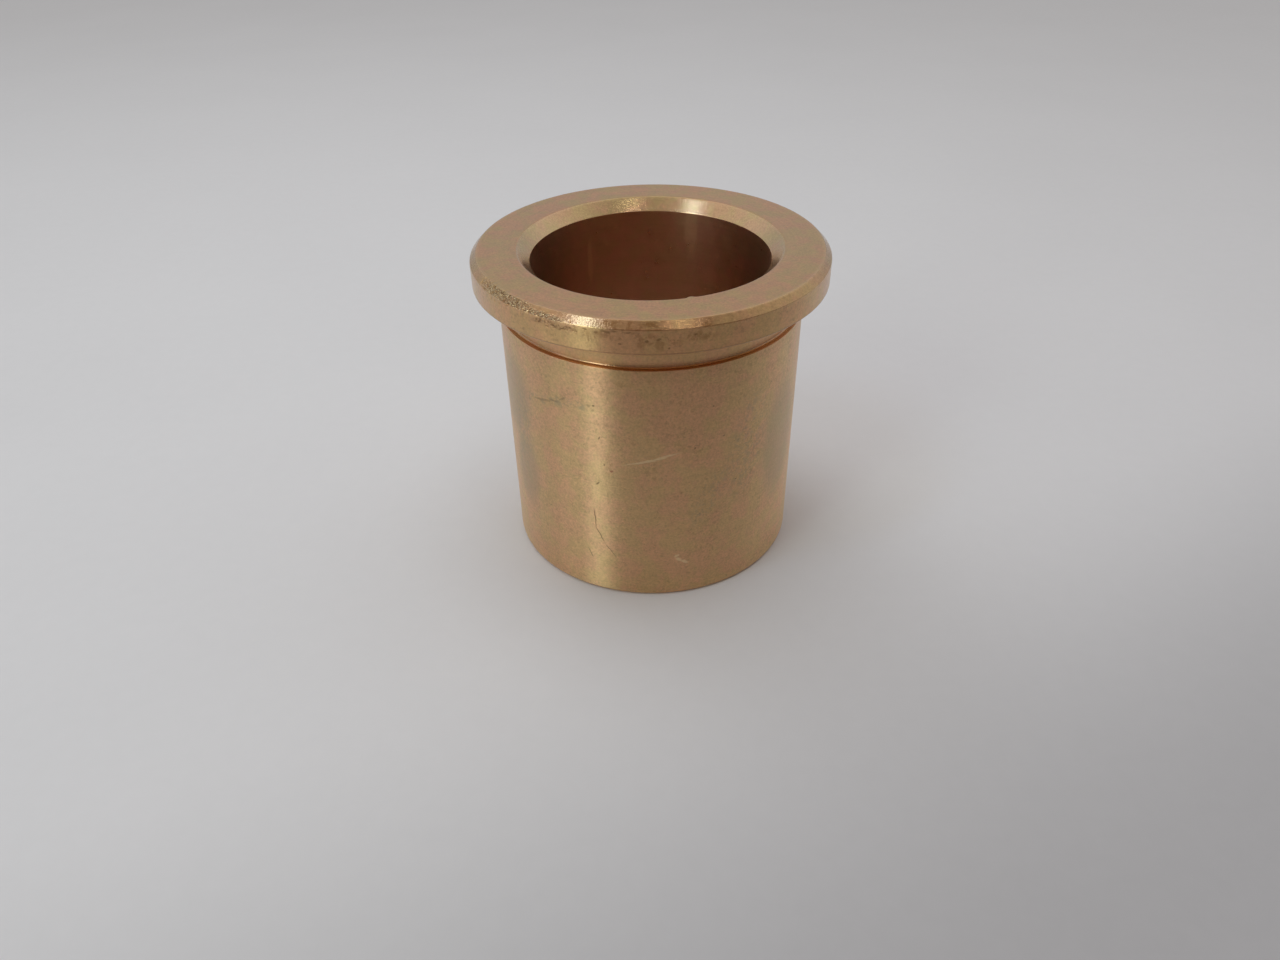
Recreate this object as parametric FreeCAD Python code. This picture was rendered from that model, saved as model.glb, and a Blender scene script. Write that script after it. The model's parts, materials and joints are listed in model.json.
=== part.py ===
# Flanged sleeve bushing, turned in one piece from bronze bar.
#
# Millimetres. The origin is the centre of the lower end face, where the bushing stands. +Z runs along the bore
# towards the flange. Every surface is a surface of revolution about Z, so the part is one profile turned about Z.

import FreeCAD, Part
import math
import os

# Driving dimensions
BORE_DIAMETER = 35.0
BARREL_DIAMETER = 45.0
FLANGE_DIAMETER = 52.0
TOTAL_LENGTH = 48.0
FLANGE_THICKNESS = 4.5

# The relief neck between the barrel's upper shoulder and the flange
NECK_DEPTH = 0.75
NECK_WIDTH = 4.1
NECK_CORNER_RADIUS = 0.3

# Edges
FLANGE_TOP_CHAMFER = 0.95
FLANGE_LOWER_EDGE_BREAK = 0.25
BARREL_LOWER_EDGE_BREAK = 0.4
BORE_MOUTH_COUNTERSINK = 1.8
BORE_LOWER_EDGE_BREAK = 0.5

# Radii and levels that follow from the driving dimensions
BORE_RADIUS = BORE_DIAMETER / 2
BARREL_RADIUS = BARREL_DIAMETER / 2
FLANGE_RADIUS = FLANGE_DIAMETER / 2
NECK_RADIUS = BARREL_RADIUS - NECK_DEPTH
FLANGE_UNDERSIDE_Z = TOTAL_LENGTH - FLANGE_THICKNESS
SHOULDER_Z = FLANGE_UNDERSIDE_Z - NECK_WIDTH

AXIS_ORIGIN = FreeCAD.Vector(0, 0, 0)
AXIS_DIRECTION = FreeCAD.Vector(0, 0, 1)
FULL_TURN_DEG = 360


def point(radius, z):
    """A point of the profile, which lies in the XZ plane."""
    return FreeCAD.Vector(radius, 0, z)


def line(start, end):
    """A straight edge of the profile."""
    return Part.LineSegment(start, end).toShape()


def lines(points):
    """Straight edges from each point to the next."""
    return [line(start, end) for start, end in zip(points, points[1:])]


def quarter_arc(centre, radius, start_deg):
    """A quarter of a circle about centre, which runs anticlockwise from start_deg, and its two ends."""
    ends = []
    for angle_deg in (start_deg, start_deg + 45, start_deg + 90):
        angle = math.radians(angle_deg)
        ends.append(centre + point(radius * math.cos(angle), radius * math.sin(angle)))
    return Part.Arc(*ends).toShape(), ends[0], ends[2]


def neck_corner():
    """The concave corner where the neck meets the barrel's shoulder, with the neck's end first."""
    radius = NECK_CORNER_RADIUS
    centre = point(NECK_RADIUS + radius, SHOULDER_Z + radius)
    return quarter_arc(centre, radius, 180)


def barrel_outline(corner_end):
    """The outside from the lower end face up to the shoulder, where the neck's corner begins."""
    edge_break = BARREL_LOWER_EDGE_BREAK
    return lines([
        point(BARREL_RADIUS - edge_break, 0),
        point(BARREL_RADIUS, edge_break),
        point(BARREL_RADIUS, SHOULDER_Z),
        corner_end,
    ])


def flange_outline(corner_start):
    """The outside from the neck's corner round the flange to the outer edge of the top face."""
    edge_break = FLANGE_LOWER_EDGE_BREAK
    chamfer = FLANGE_TOP_CHAMFER
    return lines([
        corner_start,
        point(NECK_RADIUS, FLANGE_UNDERSIDE_Z),
        point(FLANGE_RADIUS - edge_break, FLANGE_UNDERSIDE_Z),
        point(FLANGE_RADIUS, FLANGE_UNDERSIDE_Z + edge_break),
        point(FLANGE_RADIUS, TOTAL_LENGTH - chamfer),
        point(FLANGE_RADIUS - chamfer, TOTAL_LENGTH),
    ])


def bore_outline():
    """The top face, the countersunk mouth, the bore and the lower end face."""
    countersink = BORE_MOUTH_COUNTERSINK
    edge_break = BORE_LOWER_EDGE_BREAK
    return lines([
        point(FLANGE_RADIUS - FLANGE_TOP_CHAMFER, TOTAL_LENGTH),
        point(BORE_RADIUS + countersink, TOTAL_LENGTH),
        point(BORE_RADIUS, TOTAL_LENGTH - countersink),
        point(BORE_RADIUS, edge_break),
        point(BORE_RADIUS + edge_break, 0),
        point(BARREL_RADIUS - BARREL_LOWER_EDGE_BREAK, 0),
    ])


def flanged_bushing():
    """The whole bushing: its closed profile turned once about Z."""
    corner, corner_start, corner_end = neck_corner()
    edges = barrel_outline(corner_end) + [corner] + flange_outline(corner_start) + bore_outline()
    profile = Part.Wire(edges)
    return Part.Face(profile).revolve(AXIS_ORIGIN, AXIS_DIRECTION, FULL_TURN_DEG)


def export(node, shape):
    """Writes one sub-part, and stops if it isn't one valid solid."""
    solids = shape.Solids
    if len(solids) != 1 or not shape.isValid():
        raise RuntimeError(node + " is not one valid solid")
    box = shape.BoundBox
    shape.exportStep("parts/" + node + ".step")
    print(node, "volume", round(shape.Volume, 1), "size", round(box.XLength, 3), round(box.ZLength, 3))


os.makedirs("parts", exist_ok=True)
export("flanged_bushing", flanged_bushing())
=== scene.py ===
# The looks of the flanged bronze bushing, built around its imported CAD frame. Metres, +Z up.

import json
import math
import random

import bpy
from mathutils import Matrix, Vector


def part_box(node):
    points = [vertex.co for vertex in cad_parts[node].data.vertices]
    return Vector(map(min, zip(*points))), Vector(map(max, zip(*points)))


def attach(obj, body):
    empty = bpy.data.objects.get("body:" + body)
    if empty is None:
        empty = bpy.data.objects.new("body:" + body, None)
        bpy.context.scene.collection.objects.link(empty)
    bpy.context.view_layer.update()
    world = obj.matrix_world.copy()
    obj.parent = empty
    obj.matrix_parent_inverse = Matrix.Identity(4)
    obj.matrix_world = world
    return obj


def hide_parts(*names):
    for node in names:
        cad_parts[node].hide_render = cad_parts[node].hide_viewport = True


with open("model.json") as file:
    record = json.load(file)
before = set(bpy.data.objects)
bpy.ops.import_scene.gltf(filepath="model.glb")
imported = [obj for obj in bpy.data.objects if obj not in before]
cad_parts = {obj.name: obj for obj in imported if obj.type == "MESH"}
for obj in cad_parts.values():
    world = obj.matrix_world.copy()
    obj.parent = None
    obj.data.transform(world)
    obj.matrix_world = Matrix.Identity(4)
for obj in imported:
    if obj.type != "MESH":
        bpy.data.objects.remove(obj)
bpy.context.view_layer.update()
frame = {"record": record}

MM = 0.001
NODE = "flanged_bushing"

# --------------------------------------------------------------------------------------------------
# Sizes. The main ones come from the frame, and the small edges are named here, in metres.
# --------------------------------------------------------------------------------------------------
MOUNTS = {mount["name"]: mount for mount in frame["record"]["mounts"]}
LOWEST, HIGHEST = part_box(NODE)
LENGTH = HIGHEST.z - LOWEST.z
FLANGE_RADIUS = HIGHEST.x
BORE_RADIUS = MOUNTS["bore"]["dims"]["r_mm"] * MM
BARREL_RADIUS = MOUNTS["barrel"]["dims"]["r_mm"] * MM
BARREL_WALL = MOUNTS["barrel"]["dims"]["length_mm"] * MM
UNDERSIDE_Z = MOUNTS["flange_seat"]["pos_m"][2]

BARREL_BREAK = 0.40 * MM
SHOULDER_Z = BARREL_BREAK + BARREL_WALL
NECK_DEPTH = 0.75 * MM
NECK_RADIUS = BARREL_RADIUS - NECK_DEPTH
NECK_CORNER = 0.30 * MM
FLANGE_BREAK = 0.25 * MM
FLANGE_CHAMFER = 0.95 * MM
COUNTERSINK = 1.80 * MM
BORE_BREAK = 0.50 * MM

# Radii that soften the outline's corners
SOFT_EDGE = 0.07 * MM
BASE_ROUNDING = 0.12 * MM
HEEL_ROUNDING = 0.16 * MM
CHAMFER_FOOT_ROUNDING = 0.22 * MM
CHAMFER_TOP_ROUNDING = 0.30 * MM
MOUTH_ROUNDING = 0.55 * MM
LIP_ROUNDING = 0.16 * MM

# Spacing of the mesh's rings on the runs of the outline. The lower end has the barrel's.
EDGE_RINGS = 0.12 * MM
RIM_RINGS = 0.14 * MM
SHOULDER_RINGS = 0.2 * MM
COUNTERSINK_RINGS = 0.3 * MM
FACE_RINGS = 0.4 * MM
NECK_RINGS = 0.6 * MM
BARREL_RINGS = 0.8 * MM
FLANGE_UNDERSIDE_RINGS = 1.0 * MM
BORE_RINGS = 1.6 * MM

# The photographed view, in the frame's metres and degrees
CAMERA_DISTANCE = 0.13103
CAMERA_HEIGHT = 0.10049
CAMERA_PITCH_DEG = 35.900
CAMERA_YAW_DEG = -0.915
CAMERA_ROLL_DEG = -1.024
CAMERA_LENS_MM = 26.67
SENSOR_WIDTH_MM = 36.0
CAMERA_CLIP_START = 0.005


# --------------------------------------------------------------------------------------------------
# Profile: the corners of the turned outline. Each has the radius that softens it, the wear of its
# edge with its painted sheen or painted shade, and the spacing of the rings on the run that follows it.
# --------------------------------------------------------------------------------------------------
# Edge values: worn edges are lighter, partly with a painted sheen; negative values paint shade on the
# edges under the flange and in the neck's foot corner.
WORN_WITH_SHEEN = 1.0
PLAIN = 0.0
LIGHT_PAINTED_SHADE = -0.35
PAINTED_SHADE = -0.7
ARC_STEPS = 4


def profile_corners():
    """(radius, z, corner radius, wear and painted shade, ring spacing after it), from the lower outer
    edge up, over the top and down the bore."""
    chamfer_foot = LENGTH - FLANGE_CHAMFER
    return [
        (BARREL_RADIUS - BARREL_BREAK, 0.0, BASE_ROUNDING, PLAIN, EDGE_RINGS),
        (BARREL_RADIUS, BARREL_BREAK, HEEL_ROUNDING, WORN_WITH_SHEEN, BARREL_RINGS),
        (BARREL_RADIUS, SHOULDER_Z, SOFT_EDGE, PLAIN, SHOULDER_RINGS),
        (NECK_RADIUS, SHOULDER_Z, NECK_CORNER, LIGHT_PAINTED_SHADE, NECK_RINGS),
        (NECK_RADIUS, UNDERSIDE_Z, NECK_CORNER, PLAIN, FLANGE_UNDERSIDE_RINGS),
        (FLANGE_RADIUS - FLANGE_BREAK, UNDERSIDE_Z, SOFT_EDGE, PAINTED_SHADE, EDGE_RINGS),
        (FLANGE_RADIUS, UNDERSIDE_Z + FLANGE_BREAK, SOFT_EDGE, PAINTED_SHADE, RIM_RINGS),
        (FLANGE_RADIUS, chamfer_foot, CHAMFER_FOOT_ROUNDING, WORN_WITH_SHEEN, EDGE_RINGS),
        (FLANGE_RADIUS - FLANGE_CHAMFER, LENGTH, CHAMFER_TOP_ROUNDING, WORN_WITH_SHEEN, FACE_RINGS),
        (BORE_RADIUS + COUNTERSINK, LENGTH, MOUTH_ROUNDING, PLAIN, COUNTERSINK_RINGS),
        (BORE_RADIUS, LENGTH - COUNTERSINK, LIP_ROUNDING, PLAIN, BORE_RINGS),
        (BORE_RADIUS, BORE_BREAK, SOFT_EDGE, PLAIN, EDGE_RINGS),
        (BORE_RADIUS + BORE_BREAK, 0.0, SOFT_EDGE, PLAIN, BARREL_RINGS),
    ]


def corner_arc(before, corner, after, radius):
    """Points of the arc that rounds a corner, from the side of before to the side of after."""
    to_before = (before - corner).normalized()
    to_after = (after - corner).normalized()
    half = to_before.angle(to_after) / 2
    reach = radius / math.tan(half)
    centre = corner + (to_before + to_after).normalized() * (radius / math.sin(half))
    start = corner + to_before * reach - centre
    end = corner + to_after * reach - centre
    sweep = start.angle(end)
    points = []
    for step in range(ARC_STEPS + 1):
        share = step / ARC_STEPS
        weight_a = math.sin((1 - share) * sweep) / math.sin(sweep)
        weight_b = math.sin(share * sweep) / math.sin(sweep)
        points.append(centre + start * weight_a + end * weight_b)
    return points


def profile_points():
    """The closed outline as (radius, z) points with rounded corners, and the value for edge wear and
    painted shade at each point.
    """
    corners = profile_corners()
    count = len(corners)
    spots = [Vector(corner[:2]) for corner in corners]
    arcs = []
    for i, (_, _, rounding, _, _) in enumerate(corners):
        arcs.append(corner_arc(spots[i - 1], spots[i], spots[(i + 1) % count], rounding))
    points = []
    wear_and_shade = []
    for i, (_, _, _, corner_wear_and_shade, spacing) in enumerate(corners):
        start = arcs[i][-1]
        end = arcs[(i + 1) % count][0]
        steps = max(1, round((end - start).length / spacing))
        points.extend(arcs[i])
        wear_and_shade.extend(corner_wear_and_shade for _ in arcs[i])
        points.extend(start.lerp(end, step / steps) for step in range(1, steps))
        wear_and_shade.extend(PLAIN for _ in range(1, steps))
    return points, wear_and_shade


# --------------------------------------------------------------------------------------------------
# The bushing's mesh
# --------------------------------------------------------------------------------------------------
# Sectors of the mesh, as (start, end, spacing of the columns) in degrees from the front (-Y) towards
# +X. The columns are closest together where the pits are.
SECTORS = [(-96.0, -64.0, 1.0), (-64.0, -16.0, 0.20), (-16.0, 80.0, 1.0), (80.0, 264.0, 2.0)]


def column_angles():
    """Angles of the mesh's columns."""
    angles = []
    for start, end, spacing in SECTORS:
        steps = round((end - start) / spacing)
        angles.extend(start + (end - start) * step / steps for step in range(steps))
    return angles


def place(radius, angle_deg, z):
    """The point at a radius and height, at an angle from the front."""
    angle = math.radians(angle_deg)
    return Vector((radius * math.sin(angle), -radius * math.cos(angle), z))


def flange_edge_spot(point):
    """(angle in degrees, distance) of a point near the flange's upper outer edge: the distance is
    measured from the chamfer's foot, up the chamfer as positive and down the rim as negative. None
    elsewhere."""
    radius = math.hypot(point.x, point.y)
    foot_z = LENGTH - FLANGE_CHAMFER
    innermost = FLANGE_RADIUS - FLANGE_CHAMFER - PITTED_FACE_WIDTH
    if radius < innermost or point.z < UNDERSIDE_Z + FLANGE_BREAK:
        return None
    angle = math.degrees(math.atan2(point.x, -point.y))
    if point.z < foot_z:
        return angle, point.z - foot_z
    return angle, math.hypot(FLANGE_RADIUS - radius, point.z - foot_z)


# Stretches of pitting along the flange's upper edge: how many pits, the angles in degrees of the
# band's two ends, the distances in millimetres from the chamfer's foot of its middle at those ends,
# its spread, and the pits' least and greatest radius.
PIT_STRETCHES = [
    (135, -63.0, -36.0, 0.80, 0.60, 0.46, 0.12, 0.25),
    (24, -38.0, -31.0, 0.55, -0.40, 0.30, 0.12, 0.23),
    (34, -34.0, -21.0, -0.45, -0.60, 0.36, 0.09, 0.17),
    (8, -24.0, -16.5, -0.50, -0.80, 0.45, 0.09, 0.14),
]
PIT_SEED = 4
SHALLOWEST_PIT = 0.28
DEEPEST_PIT = 0.58
PIT_WALL_POWER = 0.8
PIT_MARGIN_DEG = 1
DEEP_PIT = 0.14 * MM
PITTED_FACE_WIDTH = 0.3 * MM

BURR_ANGLE_DEG = 15.6
BURR_WIDTH = 0.75 * MM
BURR_REACH = 0.38 * MM


def edge_pits():
    """The pits along the flange's upper edge, as (angle, distance, radius, depth) in degrees and
    metres. A pit's depth is a share of its radius."""
    rng = random.Random(PIT_SEED)
    pits = []
    for count, start, end, start_middle, end_middle, spread, least, greatest in PIT_STRETCHES:
        for _ in range(count):
            share = rng.random()
            middle = start_middle + (end_middle - start_middle) * share
            distance = (middle + rng.gauss(0, spread)) * MM
            radius = rng.uniform(least, greatest) * MM
            depth = radius * rng.uniform(SHALLOWEST_PIT, DEEPEST_PIT)
            pits.append((start + (end - start) * share, distance, radius, depth))
    return pits


def pit_depths(points):
    """How far the pits push each point in."""
    pits = edge_pits()
    first = min(pit[0] for pit in pits) - PIT_MARGIN_DEG
    last = max(pit[0] for pit in pits) + PIT_MARGIN_DEG
    depths = []
    for point in points:
        spot = flange_edge_spot(point)
        depth = 0.0
        if spot is not None and first < spot[0] < last:
            for angle, distance, radius, deepest in pits:
                aside = math.radians(spot[0] - angle) * FLANGE_RADIUS
                if abs(aside) > radius:
                    continue
                share = (aside * aside + (spot[1] - distance) ** 2) / (radius * radius)
                if share < 1:
                    depth = max(depth, deepest * (1 - share) ** PIT_WALL_POWER)
        depths.append(depth)
    return depths


def with_burr(point):
    """The point, moved towards the axis if it belongs to the small burr on the edge of the bore's
    mouth."""
    edge = place(BORE_RADIUS + COUNTERSINK, BURR_ANGLE_DEG, LENGTH)
    share = (point - edge).length / BURR_WIDTH
    if share >= 1:
        return point
    inward = Vector((-point.x, -point.y, 0)).normalized()
    return point + inward * BURR_REACH * (1 - share * share) ** 2


def add_values(mesh, name, values):
    """Gives each of the mesh's points a value that its materials can read."""
    attribute = mesh.attributes.new(name, "FLOAT", "POINT")
    attribute.data.foreach_set("value", values)


def bushing_mesh():
    """The turned body as one closed mesh, with its pits and burr, and as point values its pitting and
    its edge wear, painted sheen and painted shade."""
    outline, wear_and_shade = profile_points()
    angles = column_angles()
    rows = len(outline)
    columns = len(angles)
    vertices = [place(p.x, angle, p.y) for angle in angles for p in outline]
    depths = pit_depths(vertices)
    middle = Vector((0, 0, LENGTH / 2))
    moved = []
    for vertex, depth in zip(vertices, depths):
        inward = (middle - vertex).normalized()
        moved.append(with_burr(vertex) + inward * depth)
    faces = []
    for c in range(columns):
        here = c * rows
        there = ((c + 1) % columns) * rows
        for r in range(rows):
            above = (r + 1) % rows
            faces.append((here + r, there + r, there + above, here + above))
    mesh = bpy.data.meshes.new("turned_bushing")
    mesh.from_pydata(moved, [], faces)
    mesh.shade_smooth()
    add_values(mesh, "pitted", [min(1.0, depth / DEEP_PIT) for depth in depths])
    add_values(mesh, "wear_and_shade", wear_and_shade * columns)
    return mesh


# --------------------------------------------------------------------------------------------------
# Materials
# --------------------------------------------------------------------------------------------------
# Noise patterns, as features to a millimetre, finer layers, and how strong those layers are. The
# patterns that are drawn on ringed coordinates have their scale in those.
PATCH_NOISE = (0.30, 4.0, 0.6)
BLOTCH_NOISE = (0.8, 4.0, 0.65)
SPECK_NOISE = (1.8, 3.0, 0.6)
GATHERING_NOISE = (0.22, 2.0, 0.5)
GRAIN_NOISE = (3.0, 3.0, 0.7)
WAVER_NOISE = (0.9, 2.0, 0.5)
FINE_LINE_NOISE = (1.0, 1.0, 0.5)
COARSE_LINE_NOISE = (1.0, 2.0, 0.5)
CHATTER_NOISE = (1.0, 2.0, 0.6)
FLECK_LAYERS = (3.0, 0.7)

# Ringed coordinates, as features to a millimetre along the profile and round the part, and a shift
# that keeps the patterns apart
FINE_LINES = (9.0, 0.05, 0.0)
COARSE_LINES = (2.2, 0.02, 50.0)
CHATTER = (0.25, 2.4, 90.0)

# Shifts in millimetres that keep the patterns in space apart
BLOTCH_SHIFT = (31.0, 7.0, 11.0)
SPECK_SHIFT = (5.0, 17.0, 3.0)
GATHERING_SHIFT = (2.0, 9.0, 23.0)

# Ranges of a pattern over which its effect comes in
PATCH_RANGE = (0.38, 0.62)
SPECK_RANGE = (0.83, 0.93)
FLECK_RANGE = (0.46, 0.60)
STROKE_FADE = (1.0, 0.45)
GATHERING_SHARE = 0.5

# How far the colour drifts in each channel between its pink and its olive patches
PINK_DRIFT = (0.03, -0.03, 0.0)
OLIVE_DRIFT = (-0.03, 0.02, -0.06)

# How strongly each pattern shades the colour, raises the bump and varies the roughness
TARNISH_SHADE = 0.7
LINE_SHADE = 0.8
GRAIN_SHADE = 1.1
LINE_BUMP = 0.8
GRAIN_BUMP = 1.2
ROUGHNESS_SPREAD = 0.14
BUMP_DEPTH = 0.03 * MM

# Colours laid over the bronze, and how much of it they cover
SPECK_COLOUR = (0.22, 0.12, 0.06, 1)
# The light colour of worn edges is partly real wear and partly a painted sheen along the edges.
WORN_SHEEN_COLOUR = (0.86, 0.68, 0.44, 1)
WORN_SHEEN_COVER = 0.10
# Painted shade: the dark colour laid on the edges under the flange and in the neck's foot corner.
PAINTED_SHADE_COLOUR = (0.16, 0.09, 0.05, 1)
PAINTED_SHADE_COVER = 0.60
PIT_COLOUR = (0.42, 0.23, 0.09, 1)
PIT_COVER = 0.50

FILM_ROUGHNESS = 0.25

# The share of a turn that makes highlights spread across the turning grooves
GROOVE_TURN = 0.25

# The span in millimetres, round and up, over which the edges of the marks waver
MARK_WAVER = (0.5, 0.5, 0.0)


class Nodes:
    """Short calls for building a node tree."""

    def __init__(self, tree):
        self.tree = tree

    def add(self, kind, settings=None, **inputs):
        """A new node with its settings. An input is a socket to link or a plain value."""
        node = self.tree.nodes.new(kind)
        for name, value in (settings or {}).items():
            setattr(node, name, value)
        for name, value in inputs.items():
            self.set(node.inputs[name.replace("_", " ")], value)
        return node

    def set(self, socket, value):
        """Links a socket to an input, or gives the input a plain value."""
        if isinstance(value, bpy.types.NodeSocket):
            self.tree.links.new(value, socket)
        else:
            socket.default_value = value

    def math(self, operation, first, second=0.0):
        """A Math node's result."""
        node = self.add("ShaderNodeMath", {"operation": operation})
        self.set(node.inputs[0], first)
        self.set(node.inputs[1], second)
        return node.outputs[0]

    def vector(self, operation, first, second):
        """A Vector Math node's vector result."""
        node = self.add("ShaderNodeVectorMath", {"operation": operation})
        self.set(node.inputs[0], first)
        self.set(node.inputs[1], second)
        return node.outputs[0]

    def combine(self, x, y, z):
        """A vector from three numbers."""
        return self.add("ShaderNodeCombineXYZ", X=x, Y=y, Z=z).outputs["Vector"]

    def noise(self, vector, scale, detail, roughness, output="Fac"):
        """A noise pattern, from 0 to 1, or its three patterns as a colour."""
        node = self.add("ShaderNodeTexNoise", Vector=vector, Scale=scale, Detail=detail,
                        Roughness=roughness)
        return node.outputs[output]

    def ramp(self, value, low, high, to_low=0.0, to_high=1.0, smooth=True):
        """The value, carried from one range to another and held at its ends."""
        kind = "SMOOTHSTEP" if smooth else "LINEAR"
        node = self.add("ShaderNodeMapRange", {"interpolation_type": kind})
        self.set(node.inputs["Value"], value)
        self.set(node.inputs["From Min"], low)
        self.set(node.inputs["From Max"], high)
        self.set(node.inputs["To Min"], to_low)
        self.set(node.inputs["To Max"], to_high)
        return node.outputs["Result"]

    def mix(self, share, first, second, blend="MIX"):
        """Two colours mixed by a share."""
        node = self.add("ShaderNodeMix", {"data_type": "RGBA", "blend_type": blend})
        self.set(node.inputs[0], share)
        self.set(node.inputs[6], first)
        self.set(node.inputs[7], second)
        return node.outputs[2]


def turned_place(nodes):
    """Where a point is on the turned surface, in millimetres: along the profile, round the axis at
    the barrel's radius, its height, and its place in space. Outward is its direction from the axis."""
    position = nodes.add("ShaderNodeTexCoord").outputs["Object"]
    space = nodes.vector("MULTIPLY", position, (1 / MM, 1 / MM, 1 / MM))
    parts = nodes.add("ShaderNodeSeparateXYZ", Vector=space)
    x, y, z = parts.outputs["X"], parts.outputs["Y"], parts.outputs["Z"]
    x_squared = nodes.math("MULTIPLY", x, x)
    y_squared = nodes.math("MULTIPLY", y, y)
    radius = nodes.math("SQRT", nodes.math("ADD", x_squared, y_squared))
    angle = nodes.math("ARCTAN2", x, nodes.math("MULTIPLY", y, -1.0))
    around = nodes.math("MULTIPLY", angle, BARREL_RADIUS / MM)
    along = nodes.math("SUBTRACT", z, radius)
    outward = nodes.add("ShaderNodeVectorMath", {"operation": "NORMALIZE"})
    nodes.set(outward.inputs[0], nodes.combine(x, y, 0.0))
    return {
        "along": along,
        "around": around,
        "height": z,
        "space": space,
        "outward": outward.outputs["Vector"],
    }


def ringed(nodes, spot, per_mm_along, per_mm_around, shift):
    """Where a point is for a pattern that is finer along the profile than round the part, or the
    other way. It has no seam, because it goes round on a circle."""
    circle = per_mm_around * BARREL_RADIUS / MM
    level = nodes.math("ADD", nodes.math("MULTIPLY", spot["along"], per_mm_along), shift)
    return nodes.vector("ADD", nodes.vector("MULTIPLY", spot["outward"], (circle, circle, 0.0)),
                        nodes.combine(0.0, 0.0, level))


def turning_lines(nodes, spot):
    """Fine lines that run round the part, of uneven depth, and that change slowly along their length."""
    fine = nodes.noise(ringed(nodes, spot, *FINE_LINES), *FINE_LINE_NOISE)
    coarse = nodes.noise(ringed(nodes, spot, *COARSE_LINES), *COARSE_LINE_NOISE)
    both = nodes.math("ADD", fine, coarse)
    return nodes.math("MULTIPLY", both, 0.5)


def stroke(nodes, spot, angle_deg, height, half_length, half_width, tilt_deg):
    """How much a mark covers a point: its middle is at an angle and height, in degrees and
    millimetres, and it runs at a tilt from level."""
    middle = (math.radians(angle_deg) * BARREL_RADIUS / MM, height, 0.0)
    shift = nodes.vector("SUBTRACT", spot["wavering"], middle)
    turned = nodes.add("ShaderNodeVectorRotate", {"rotation_type": "Z_AXIS"}, Vector=shift,
                       Angle=-math.radians(tilt_deg))
    scaled = nodes.vector("MULTIPLY", turned.outputs["Vector"], (1 / half_length, 1 / half_width, 0.0))
    reach = nodes.add("ShaderNodeVectorMath", {"operation": "LENGTH"}, Vector=scaled)
    return nodes.ramp(reach.outputs["Value"], *STROKE_FADE)


def strokes(nodes, spot, marks):
    """How much any of several marks covers a point."""
    covered = 0.0
    for mark in marks:
        covered = nodes.math("MAXIMUM", stroke(nodes, spot, *mark), covered)
    return covered


def grey(nodes, value):
    """The same value in all three channels."""
    return nodes.combine(value, value, value)


def varied(nodes, base, amount, value):
    """Base plus amount times how far a 0 to 1 pattern is from its middle."""
    return nodes.math("ADD", base, nodes.math("MULTIPLY", nodes.math("SUBTRACT", value, 0.5), amount))


def drifted(colour, drift, amount):
    """A colour whose channels are changed by their own drifts times an amount."""
    channels = [value * (1 + change * amount) for value, change in zip(colour, drift)]
    return (*channels, 1)


def tarnished(nodes, spot, finish, blotches, lines, grain):
    """The finish's colour with its drift between pink and olive, its blotches, turning lines and
    grain."""
    patches = nodes.noise(spot["space"], *PATCH_NOISE)
    pink = drifted(finish["colour"], PINK_DRIFT, finish["drift"])
    olive = drifted(finish["colour"], OLIVE_DRIFT, finish["drift"])
    hue = nodes.mix(nodes.ramp(patches, *PATCH_RANGE), pink, olive)
    shade = varied(nodes, 1.0, TARNISH_SHADE * finish["tarnish"], blotches)
    shade = varied(nodes, shade, LINE_SHADE * finish["lines"], lines)
    shade = varied(nodes, shade, GRAIN_SHADE * finish["grain"], grain)
    return nodes.mix(1.0, hue, grey(nodes, shade), "MULTIPLY")


def specked(nodes, spot, amount, colour):
    """Adds brown tarnish specks, which gather in patches."""
    fine = nodes.noise(nodes.vector("ADD", spot["space"], SPECK_SHIFT), *SPECK_NOISE)
    gathered = nodes.noise(nodes.vector("ADD", spot["space"], GATHERING_SHIFT), *GATHERING_NOISE)
    both = nodes.math("ADD", fine, nodes.math("MULTIPLY", gathered, GATHERING_SHARE))
    specks = nodes.ramp(both, *SPECK_RANGE)
    return nodes.mix(nodes.math("MULTIPLY", specks, amount), colour, SPECK_COLOUR)


def covered_by(nodes, share, cover, colour, laid_over):
    """A colour with another laid over it: its share at a point times how much it covers at most."""
    return nodes.mix(nodes.math("MULTIPLY", share, cover), colour, laid_over)


def point_value(nodes, name):
    """A value that the mesh's points carry."""
    return nodes.add("ShaderNodeAttribute", {"attribute_name": name}).outputs["Fac"]


def worn_shaded_and_pitted(nodes, colour):
    """A colour made lighter on worn edges, partly as a painted sheen, darker with painted shade on the
    edges under the flange and at the neck's foot, and brown in the pits.
    """
    wear_and_shade = point_value(nodes, "wear_and_shade")
    colour = covered_by(nodes, nodes.ramp(wear_and_shade, 0.0, 1.0), WORN_SHEEN_COVER, colour, WORN_SHEEN_COLOUR)
    colour = covered_by(nodes, nodes.ramp(wear_and_shade, 0.0, -1.0), PAINTED_SHADE_COVER, colour, PAINTED_SHADE_COLOUR)
    return covered_by(nodes, point_value(nodes, "pitted"), PIT_COVER, colour, PIT_COLOUR)


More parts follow.
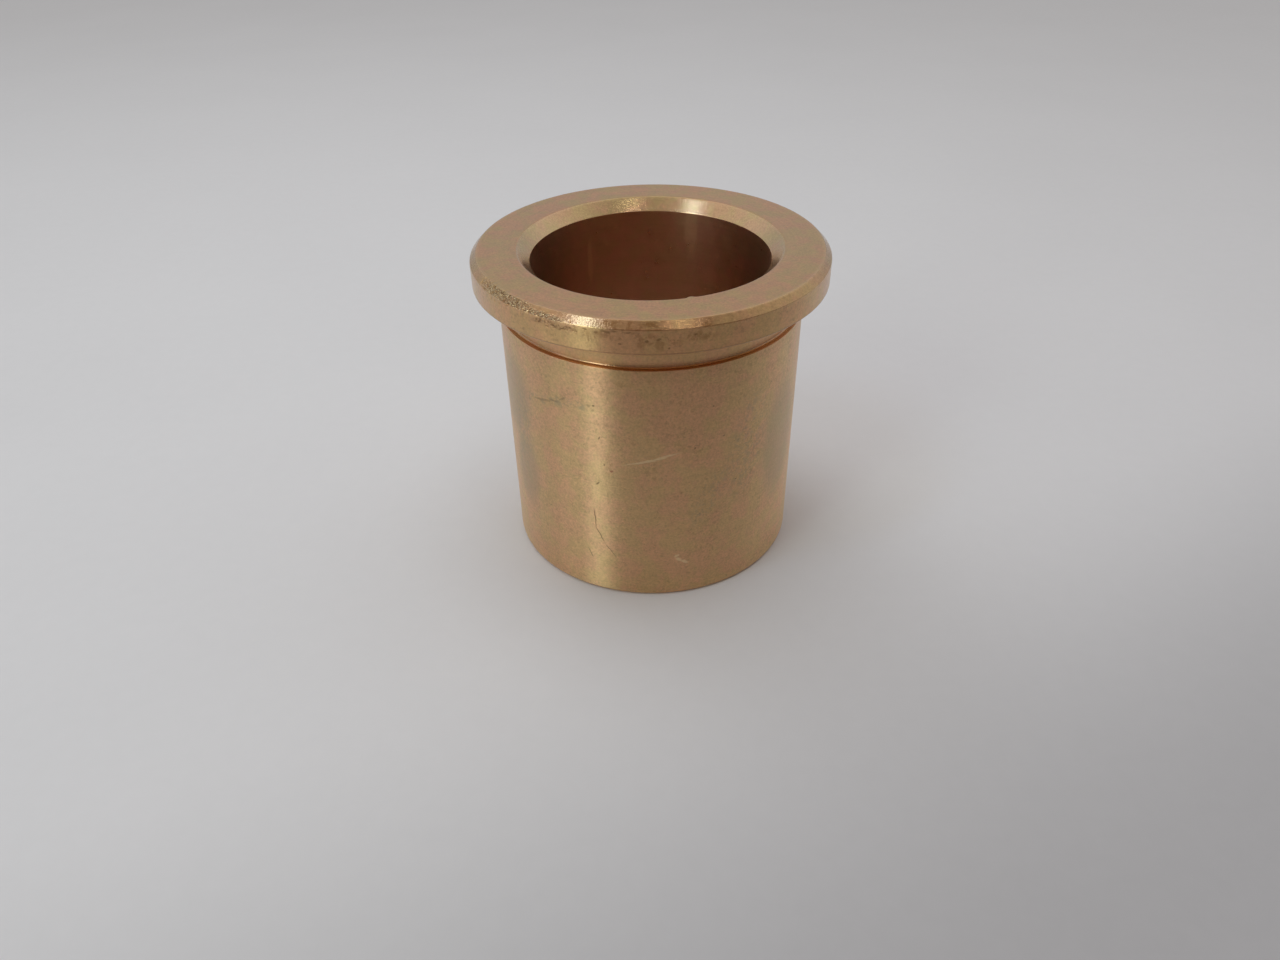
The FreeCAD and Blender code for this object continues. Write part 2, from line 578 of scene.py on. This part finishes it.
def bronze_material(name, finish):
    """Turned bronze with a thin oily film. The finish gives its colour and how far that drifts, its
    roughness and anisotropy, the weight of its film, the strength of its tarnish, turning lines,
    grain, chatter marks across the turning and specks, and its marks."""
    material = bpy.data.materials.new(name)
    material.use_nodes = True
    nodes = Nodes(material.node_tree)
    shader = material.node_tree.nodes["Principled BSDF"]
    spot = turned_place(nodes)
    lines = turning_lines(nodes, spot)
    grain = nodes.noise(spot["space"], *GRAIN_NOISE)
    chatter = nodes.noise(ringed(nodes, spot, *CHATTER), *CHATTER_NOISE)
    blotches = nodes.noise(nodes.vector("ADD", spot["space"], BLOTCH_SHIFT), *BLOTCH_NOISE)

    colour = tarnished(nodes, spot, finish, blotches, lines, grain)
    colour = specked(nodes, spot, finish["specks"], colour)
    colour = worn_shaded_and_pitted(nodes, colour)

    bump_height = nodes.math("MULTIPLY", lines, LINE_BUMP * finish["lines"])
    bump_height = varied(nodes, bump_height, GRAIN_BUMP * finish["grain"], grain)
    bump_height = varied(nodes, bump_height, finish["chatter"], chatter)
    rough = varied(nodes, finish["roughness"], ROUGHNESS_SPREAD, blotches)
    colour, bump_height = marked(nodes, spot, finish["marks"], colour, bump_height)
    bump = nodes.add("ShaderNodeBump", Strength=1.0, Distance=BUMP_DEPTH, Height=bump_height)

    nodes.set(shader.inputs["Base Color"], colour)
    nodes.set(shader.inputs["Roughness"], rough)
    nodes.set(shader.inputs["Normal"], bump.outputs["Normal"])
    shader.inputs["Metallic"].default_value = 1.0
    shader.inputs["Anisotropic"].default_value = finish["anisotropy"]
    shader.inputs["Anisotropic Rotation"].default_value = GROOVE_TURN
    shader.inputs["Coat Weight"].default_value = finish["film"]
    shader.inputs["Coat Roughness"].default_value = FILM_ROUGHNESS
    tangent = nodes.add("ShaderNodeTangent", {"direction_type": "RADIAL", "axis": "Z"})
    nodes.set(shader.inputs["Tangent"], tangent.outputs["Tangent"])
    return material


# Marks. Each is the angle in degrees and height in millimetres of its middle, half its length and
# half its width in millimetres, and its tilt in degrees.
SCRATCHES = [
    (0.6, 25.3, 4.8, 0.22, 15.0),
    (-4.5, 24.7, 3.2, 0.13, 11.0),
    (12.2, 6.3, 0.85, 0.33, -30.0),
    (10.0, 6.9, 0.70, 0.36, -38.0),
    (9.2, 7.6, 0.55, 0.26, 20.0),
]
DARK_TICKS = [
    (15.4, 26.7, 0.30, 0.16, 60.0),
    (-19.0, 28.3, 0.32, 0.12, 60.0),
    (-17.6, 23.9, 0.30, 0.10, 75.0),
    (-20.4, 20.4, 0.45, 0.13, 50.0),
    (-21.9, 14.0, 1.9, 0.09, 92.0),
    (-20.3, 11.0, 1.7, 0.09, 118.0),
    (-16.3, 8.3, 1.8, 0.08, 128.0),
    (-24.8, 6.9, 1.2, 0.09, 118.0),
    (26.6, 27.7, 0.22, 0.14, 0.0),
    (-43.3, 13.1, 0.20, 0.14, 0.0),
    (32.8, 19.5, 0.20, 0.16, 0.0),
    (22.0, 33.0, 0.16, 0.12, 0.0),
    (-20.7, 33.3, 0.26, 0.18, 0.0),
]
RED_SPOTS = [(-14.6, 22.9, 0.36, 0.24, 35.0)]
STAINS = [
    (-49.0, 31.2, 2.6, 1.0, 10.0),
    (-41.0, 31.9, 2.6, 0.9, 14.0),
    (-33.5, 32.6, 2.6, 1.1, 12.0),
    (-26.5, 32.9, 1.9, 0.8, -20.0),
]
STAIN_LINES = [
    (-43.0, 31.7, 2.6, 0.24, 14.0),
    (-37.5, 32.3, 1.3, 0.26, 3.0),
    (-33.0, 33.2, 0.9, 0.22, 30.0),
    (-22.6, 33.2, 0.40, 0.24, -40.0),
    (-21.0, 32.6, 0.24, 0.20, 0.0),
]
# Broad dark olive bands towards the barrel's left and right sides, as seen from the front.
DARK_SIDE_BANDS = [
    (-64.0, 29.0, 9.0, 6.5, 78.0),
    (-58.0, 17.0, 9.0, 4.5, 88.0),
    (58.0, 22.0, 13.0, 6.5, 90.0),
]
PATINA_FLECKS = [
    (38.0, 25.0, 12.0, 4.5, 80.0),
    (22.0, 18.0, 7.0, 2.6, 60.0),
    (-58.0, 24.0, 10.0, 3.4, 85.0),
]
BROWN_SMEARS = [(-15.5, 24.0, 3.0, 0.8, 80.0), (-12.0, 37.0, 3.0, 0.8, 5.0)]
# Painted reflections: light vertical stripes in the bore.
BORE_PAINTED_REFLECTIONS = [(-146.0, 39.0, 4.5, 0.8, 90.0), (158.0, 43.5, 6.0, 1.8, 90.0)]
RIM_SPOTS = [
    (-33.0, 46.5, 0.35, 0.22, 20.0),
    (-30.5, 46.0, 0.24, 0.16, 0.0),
    (-28.7, 46.4, 0.28, 0.20, 0.0),
    (-26.0, 46.1, 0.32, 0.18, 30.0),
    (-23.0, 46.5, 0.24, 0.16, 0.0),
    (-21.0, 46.2, 0.24, 0.18, 0.0),
    (-18.4, 46.7, 0.40, 0.18, 0.0),
    (-15.3, 46.5, 0.42, 0.22, 10.0),
    (-12.4, 46.7, 0.75, 0.24, -8.0),
    (-10.4, 46.8, 0.50, 0.16, 0.0),
    (-6.0, 46.7, 0.40, 0.15, 0.0),
    (-1.2, 45.6, 0.30, 0.24, 0.0),
    (2.2, 45.8, 0.28, 0.22, 0.0),
    (4.8, 44.6, 0.22, 0.18, 0.0),
    (-8.5, 45.1, 0.26, 0.20, 0.0),
    (12.5, 46.2, 0.30, 0.18, 0.0),
]
RIM_SMUDGES = [
    (-10.0, 46.2, 4.4, 0.9, 0.0),
    (1.5, 45.4, 4.0, 1.6, 0.0),
    (14.0, 46.0, 2.6, 1.0, 0.0),
]
CHAMFER_SMUDGES = [
    (-10.0, 47.5, 2.3, 0.8, 0.0),
    (-3.0, 47.4, 3.0, 0.8, 0.0),
    (3.0, 47.3, 1.6, 0.8, 0.0),
    (14.5, 47.4, 1.8, 0.8, 0.0),
]
CRUMBLED_CHAMFER = [(-49.0, 47.50, 6.2, 0.80, 0.0), (-32.5, 47.20, 3.6, 0.45, 0.0)]
CRUMBLED_RIM = [
    (-32.5, 46.6, 2.2, 0.50, 4.0),
    (-25.5, 46.3, 2.4, 0.45, 4.0),
]

# Groups of marks on each surface: the marks, their colour, how much they cover, how deep they are
# (negative is raised), and how many flecks to a millimetre they break into. None leaves a mark whole.
BARREL_MARKS = [
    (DARK_SIDE_BANDS, (0.42, 0.34, 0.21, 1), 0.50, 0.0, None),
    (PATINA_FLECKS, (0.36, 0.31, 0.23, 1), 0.28, 0.0, 1.6),
    (BROWN_SMEARS, (0.44, 0.22, 0.10, 1), 0.30, 0.0, 1.2),
    (STAINS, (0.36, 0.30, 0.20, 1), 0.45, 0.0, 0.8),
    (STAIN_LINES, (0.26, 0.17, 0.09, 1), 0.42, 0.0, None),
    (SCRATCHES, (1.0, 0.80, 0.48, 1), 0.65, 0.5, None),
    (DARK_TICKS, (0.16, 0.10, 0.05, 1), 0.6, 0.8, None),
    (RED_SPOTS, (0.40, 0.13, 0.08, 1), 0.7, 0.0, None),
]
# The bore's light stripes are painted reflections.
BORE_PAINTED_REFLECTION_MARKS = [(BORE_PAINTED_REFLECTIONS, (1.0, 0.72, 0.45, 1), 0.45, 0.0, None)]
RIM_MARKS = [
    (RIM_SMUDGES, (0.34, 0.16, 0.05, 1), 0.45, 0.0, 0.9),
    (CRUMBLED_RIM, (0.26, 0.14, 0.05, 1), 0.55, 2.0, 3.0),
    (RIM_SPOTS, (0.20, 0.10, 0.03, 1), 0.55, 0.3, None),
]
CHAMFER_MARKS = [
    (CHAMFER_SMUDGES, (0.36, 0.17, 0.06, 1), 0.65, 0.0, 1.2),
    (CRUMBLED_CHAMFER, (0.30, 0.16, 0.06, 1), 0.62, 2.6, 3.2),
    # The light crumbs are painted glints where the pitted band catches the light.
    (CRUMBLED_CHAMFER, (1.0, 0.82, 0.50, 1), 0.75, -1.8, 4.2),
]


def marked(nodes, spot, groups, colour, bump_height):
    """Adds groups of marks to a surface's colour and bump."""
    waver = nodes.noise(spot["space"], *WAVER_NOISE, output="Color")
    waver = nodes.vector("MULTIPLY", nodes.vector("SUBTRACT", waver, (0.5, 0.5, 0.5)), MARK_WAVER)
    unrolled = nodes.combine(spot["around"], spot["height"], 0.0)
    spot["wavering"] = nodes.vector("ADD", unrolled, waver)
    for marks, mark_colour, cover, depth, flecks in groups:
        covered = strokes(nodes, spot, marks)
        if flecks:
            broken = nodes.ramp(nodes.noise(spot["space"], flecks, *FLECK_LAYERS), *FLECK_RANGE)
            covered = nodes.math("MULTIPLY", covered, broken)
        colour = covered_by(nodes, covered, cover, colour, mark_colour)
        bump_height = nodes.math("SUBTRACT", bump_height, nodes.math("MULTIPLY", covered, depth))
    return colour, bump_height


# The finishes of the turned surfaces, by the names that zone_of uses. Each gives only what differs
# from the common finish.
COMMON_FINISH = {
    "anisotropy": 0.8,
    "film": 0.8,
    "drift": 1.0,
    "tarnish": 0.3,
    "lines": 0.2,
    "grain": 0.6,
    "chatter": 0.0,
    "specks": 0.0,
    "marks": [],
}
FINISHES = {
    "barrel": {
        "colour": (0.735, 0.478, 0.258), "roughness": 0.37, "anisotropy": 1.0, "film": 0.28,
        "tarnish": 0.4, "lines": 0.30, "grain": 0.7, "specks": 0.20, "marks": BARREL_MARKS,
    },
    "neck": {
        "colour": (0.64, 0.375, 0.175), "roughness": 0.30, "anisotropy": 0.85, "chatter": 0.15,
    },
    "groove": {
        "colour": (0.60, 0.35, 0.185), "roughness": 0.15, "anisotropy": 0.2,
    },
    # Painted reflection: the heel's warmer orange colour stands in for the warm light it reflects near
    # the floor.
    "heel_with_painted_reflection": {
        "colour": (0.80, 0.43, 0.16), "roughness": 0.30, "film": 0.4,
    },
    "rim": {
        "colour": (0.675, 0.412, 0.198), "roughness": 0.32, "anisotropy": 1.0, "film": 0.55,
        "tarnish": 0.5, "specks": 0.25, "marks": RIM_MARKS,
    },
    "chamfer": {
        "colour": (0.58, 0.368, 0.19), "roughness": 0.20, "film": 0.25, "tarnish": 0.5,
        "chatter": 0.3, "specks": 0.2, "marks": CHAMFER_MARKS,
    },
    "face": {
        "colour": (0.585, 0.35, 0.166), "roughness": 0.42, "anisotropy": 0.4, "film": 0.7,
        "drift": 1.7, "tarnish": 0.5, "lines": 0.30,
    },
    "countersink": {
        "colour": (0.655, 0.455, 0.252), "roughness": 0.22, "film": 0.55, "drift": 1.3,
        "chatter": 0.3,
    },
    "bore": {
        "colour": (0.71, 0.45, 0.30), "roughness": 0.30, "anisotropy": 0.5, "film": 0.3,
        "tarnish": 0.1, "grain": 0.15, "chatter": 0.1, "marks": BORE_PAINTED_REFLECTION_MARKS,
    },
}

# How far past a surface's true edge its finish reaches
BORE_MARGIN = 0.01 * MM
FACE_MARGIN = 0.06 * MM
COUNTERSINK_MARGIN = 0.3 * MM
RIM_MARGIN = 0.1 * MM


def zone_of(centre):
    """The name of the turned surface that a face's centre is on."""
    radius = math.hypot(centre.x, centre.y)
    heel_radius = BARREL_RADIUS - BARREL_BREAK - SOFT_EDGE
    if radius < BORE_RADIUS + BORE_MARGIN:
        return "bore"
    if centre.z > LENGTH - FACE_MARGIN and radius < FLANGE_RADIUS - FLANGE_CHAMFER:
        return "face"
    if radius < BORE_RADIUS + COUNTERSINK + COUNTERSINK_MARGIN and centre.z > LENGTH / 2:
        return "countersink"
    if centre.z > LENGTH - FLANGE_CHAMFER:
        return "chamfer"
    if centre.z > UNDERSIDE_Z + RIM_MARGIN:
        return "rim"
    if centre.z > SHOULDER_Z + NECK_CORNER:
        return "neck"
    if centre.z > SHOULDER_Z - SOFT_EDGE:
        return "groove"
    if centre.z < BARREL_BREAK + SOFT_EDGE and radius > heel_radius:
        return "heel_with_painted_reflection"
    return "barrel"


FLOOR_COLOUR = (0.715, 0.72, 0.742, 1)
FLOOR_ROUGHNESS = 0.9
FLOOR_HALF = 2.0
FLOOR_GAP = 0.02 * MM

# The card's patterns are drawn on positions in metres
FIBRE_NOISE = (0.35 / MM, 3.0, 0.6)
FIBRE_SHADE = 0.035
CLOUD_NOISE = (0.02 / MM, 2.0, 0.5)
CLOUD_SHADE = 0.04

# A painted shadow darkens the card towards the front and the right, as a person standing there
# would: how much the right counts, where in metres the painted shadow begins and is full, and its
# least and greatest strength
RIGHTWARD_SHARE = 0.5
FLOOR_PAINTED_SHADOW = (0.02, 0.105, 0.0, 0.33)


def floor_material():
    """Pale matt card, a little uneven, with a painted shadow towards the front right."""
    material = bpy.data.materials.new("pale_card")
    material.use_nodes = True
    nodes = Nodes(material.node_tree)
    shader = material.node_tree.nodes["Principled BSDF"]
    position = nodes.add("ShaderNodeTexCoord").outputs["Object"]
    fibres = nodes.noise(position, *FIBRE_NOISE)
    clouds = nodes.noise(position, *CLOUD_NOISE)
    parts = nodes.add("ShaderNodeSeparateXYZ", Vector=position)
    rightward = nodes.math("MULTIPLY", parts.outputs["X"], RIGHTWARD_SHARE)
    forward = nodes.math("SUBTRACT", rightward, parts.outputs["Y"])
    # Painted shadow towards the front right
    shade = nodes.math("SUBTRACT", 1.0, nodes.ramp(forward, *FLOOR_PAINTED_SHADOW))
    shade = varied(nodes, shade, FIBRE_SHADE, fibres)
    shade = varied(nodes, shade, CLOUD_SHADE, clouds)
    colour = nodes.mix(1.0, FLOOR_COLOUR, grey(nodes, shade), "MULTIPLY")
    nodes.set(shader.inputs["Base Color"], colour)
    shader.inputs["Roughness"].default_value = FLOOR_ROUGHNESS
    return material


# --------------------------------------------------------------------------------------------------
# Stage: floor, light and camera
# --------------------------------------------------------------------------------------------------
def add_floor():
    """A wide plain floor just under the part."""
    half = FLOOR_HALF
    z = LOWEST.z - FLOOR_GAP
    corners = [(-half, -half, z), (half, -half, z), (half, half, z), (-half, half, z)]
    mesh = bpy.data.meshes.new("floor")
    mesh.from_pydata(corners, [], [(0, 1, 2, 3)])
    mesh.materials.append(floor_material())
    floor = bpy.data.objects.new("floor", mesh)
    bpy.context.scene.collection.objects.link(floor)


def direction(azimuth_deg, elevation_deg):
    """A unit vector from the part. Azimuth 0 is the front, and positive is to the right."""
    elevation = math.radians(elevation_deg)
    return place(math.cos(elevation), azimuth_deg, math.sin(elevation))


def add_strip(name, low_end, high_end, distance, width, watts, colour, in_reflections):
    """A soft strip lamp that faces the part, between two directions given as (azimuth, elevation) in
    degrees. A lamp that isn't in reflections lights only matt surfaces."""
    low = direction(*low_end) * distance
    high = direction(*high_end) * distance
    middle = (low + high) / 2
    away = middle.normalized()
    side = (high - low).cross(away).normalized()
    lamp = bpy.data.lights.new(name, "AREA")
    lamp.shape = "RECTANGLE"
    lamp.size = width
    lamp.size_y = (high - low).length
    lamp.energy = watts
    lamp.color = colour
    light = bpy.data.objects.new(name, lamp)
    turn = Matrix((side, away.cross(side), away)).transposed().to_4x4()
    light.matrix_world = Matrix.Translation(middle + Vector((0, 0, LENGTH / 2))) @ turn
    light.visible_camera = False
    light.visible_glossy = in_reflections
    bpy.context.scene.collection.objects.link(light)


# The surrounding light. Each ramp is where it begins, where it is full, and its strengths there.
BEHIND_RANGE = (-0.7, 0.7)
LEFTWARD_LEAN = 0.1
BEHIND_STRENGTH = 0.34
BASE_STRENGTH = 0.125
OVERHEAD_RAMP = (0.3, 1.0, 0.0, 0.235)
LEFT_WALL = (-100, 45)
LEFT_RAMP = (0.5, 1.0, 0.0, 0.16)
RIGHT_WALL = (112, 42)
RIGHT_RAMP = (0.7, 1.0, 0.0, 0.16)
FRONT_TINT = (1.0, 0.88, 0.76, 1)
BACK_TINT = (0.985, 0.985, 1.0, 1)


def wall_glow(nodes, towards, wall, glow_ramp):
    """The extra strength of the light around one direction, given as (azimuth, elevation)."""
    likeness = nodes.add("ShaderNodeVectorMath", {"operation": "DOT_PRODUCT"})
    nodes.set(likeness.inputs[0], towards)
    nodes.set(likeness.inputs[1], direction(*wall))
    return nodes.ramp(likeness.outputs["Value"], *glow_ramp)


def add_world():
    """Soft light from all round: brightest overhead, behind, on the left and at the right back, and
    darker and warm from the camera's side."""
    world = bpy.data.worlds.new("studio")
    world.use_nodes = True
    nodes = Nodes(world.node_tree)
    background = world.node_tree.nodes["Background"]
    towards = nodes.add("ShaderNodeTexCoord").outputs["Generated"]
    parts = nodes.add("ShaderNodeSeparateXYZ", Vector=towards)
    lean = nodes.math("MULTIPLY", parts.outputs["X"], LEFTWARD_LEAN)
    behind = nodes.ramp(nodes.math("SUBTRACT", parts.outputs["Y"], lean), *BEHIND_RANGE)
    upward = nodes.ramp(parts.outputs["Z"], *OVERHEAD_RAMP, smooth=False)
    left_glow = wall_glow(nodes, towards, LEFT_WALL, LEFT_RAMP)
    right_glow = wall_glow(nodes, towards, RIGHT_WALL, RIGHT_RAMP)
    strength = nodes.math("ADD", nodes.math("MULTIPLY", behind, BEHIND_STRENGTH), BASE_STRENGTH)
    strength = nodes.math("ADD", strength, upward)
    strength = nodes.math("ADD", strength, nodes.math("ADD", left_glow, right_glow))
    nodes.set(background.inputs["Color"], nodes.mix(behind, FRONT_TINT, BACK_TINT))
    nodes.set(background.inputs["Strength"], strength)
    bpy.context.scene.world = world


# Lamps: name, the azimuth and elevation of the low and the high end, distance and width in metres,
# watts, colour, and whether reflections show it
LAMPS = [
    ("window_light", (-39, 5), (-46, 43), 1.0, 0.23, 1.35, (0.90, 1.03, 0.95), True),
    ("window_side", (-60, 5), (-68, 40), 1.0, 0.32, 0.42, (0.95, 1.0, 0.97), True),
    ("window_top", (-55, 47), (-62, 64), 1.0, 0.10, 0.42, (0.74, 1.0, 1.38), True),
    ("floor_light", (-90, 75), (170, 72), 0.40, 0.45, 0.40, (1.0, 1.0, 1.0), False),
    ("second_lamp", (34, 54), (24, 74), 1.0, 0.014, 0.125, (1.0, 0.95, 0.90), True),
    ("third_lamp", (24, 54), (14.5, 74), 1.0, 0.012, 0.018, (1.0, 0.95, 0.90), True),
]


def add_lights():
    """A tall soft window on the front left, weaker at its side and top, a light for the floor from
    overhead, and two weak narrow lamps high on the front right."""
    for lamp in LAMPS:
        add_strip(*lamp)


SCREEN_LEFT = -0.108
SCREEN_RIGHT = 0.70
SCREEN_HEIGHT = 0.30
SCREEN_BEHIND_CAMERA = 0.06
SCREEN_COLOUR = (0.30, 0.20, 0.14, 1)


def add_screen():
    """A warm dark screen behind the camera, out of its sight, that shades the near floor as a person
    would. Its left edge is where the window's light begins."""
    material = bpy.data.materials.new("screen")
    material.use_nodes = True
    shader = material.node_tree.nodes["Principled BSDF"]
    shader.inputs["Base Color"].default_value = SCREEN_COLOUR
    shader.inputs["Roughness"].default_value = 1.0
    mesh = bpy.data.meshes.new("screen")
    corners = [
        (SCREEN_LEFT, 0, 0),
        (SCREEN_RIGHT, 0, 0),
        (SCREEN_RIGHT, 0, SCREEN_HEIGHT),
        (SCREEN_LEFT, 0, SCREEN_HEIGHT),
    ]
    mesh.from_pydata(corners, [], [(0, 1, 2, 3)])
    mesh.materials.append(material)
    screen = bpy.data.objects.new("screen", mesh)
    screen.location = (0, -CAMERA_DISTANCE - SCREEN_BEHIND_CAMERA, LOWEST.z)
    screen.visible_camera = False
    bpy.context.scene.collection.objects.link(screen)


def add_camera():
    """The camera at the photographed view."""
    camera_data = bpy.data.cameras.new("camera")
    camera_data.lens = CAMERA_LENS_MM
    camera_data.sensor_width = SENSOR_WIDTH_MM
    camera_data.clip_start = CAMERA_CLIP_START
    camera = bpy.data.objects.new("camera", camera_data)
    pitch = math.radians(CAMERA_PITCH_DEG)
    yaw = math.radians(CAMERA_YAW_DEG)
    roll = math.radians(CAMERA_ROLL_DEG)
    forward = Vector((math.sin(yaw) * math.cos(pitch), math.cos(yaw) * math.cos(pitch), -math.sin(pitch)))
    level_right = Vector((math.cos(yaw), -math.sin(yaw), 0))
    level_up = level_right.cross(forward)
    right = level_right * math.cos(roll) + level_up * math.sin(roll)
    up = right.cross(forward)
    turn = Matrix((right, up, -forward)).transposed().to_4x4()
    camera.matrix_world = Matrix.Translation((0, -CAMERA_DISTANCE, CAMERA_HEIGHT)) @ turn
    bpy.context.scene.collection.objects.link(camera)
    bpy.context.scene.camera = camera


# --------------------------------------------------------------------------------------------------
# The scene
# --------------------------------------------------------------------------------------------------
NORMAL_WEIGHT = 90


def add_bushing():
    """The detailed bushing, in place of the plain CAD node."""
    bushing = bpy.data.objects.new("turned_bushing", bushing_mesh())
    bpy.context.scene.collection.objects.link(bushing)
    order = list(FINISHES)
    for name, finish in FINISHES.items():
        bushing.data.materials.append(bronze_material("bronze_" + name, COMMON_FINISH | finish))
    for polygon in bushing.data.polygons:
        polygon.material_index = order.index(zone_of(polygon.center))
    weighted = bushing.modifiers.new("weighted_normals", "WEIGHTED_NORMAL")
    weighted.mode = "FACE_AREA"
    weighted.weight = NORMAL_WEIGHT
    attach(bushing, "root")
    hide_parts(NODE)


add_bushing()
add_floor()
add_world()
add_lights()
add_screen()
add_camera()
bpy.context.scene.view_settings.view_transform = "Standard"
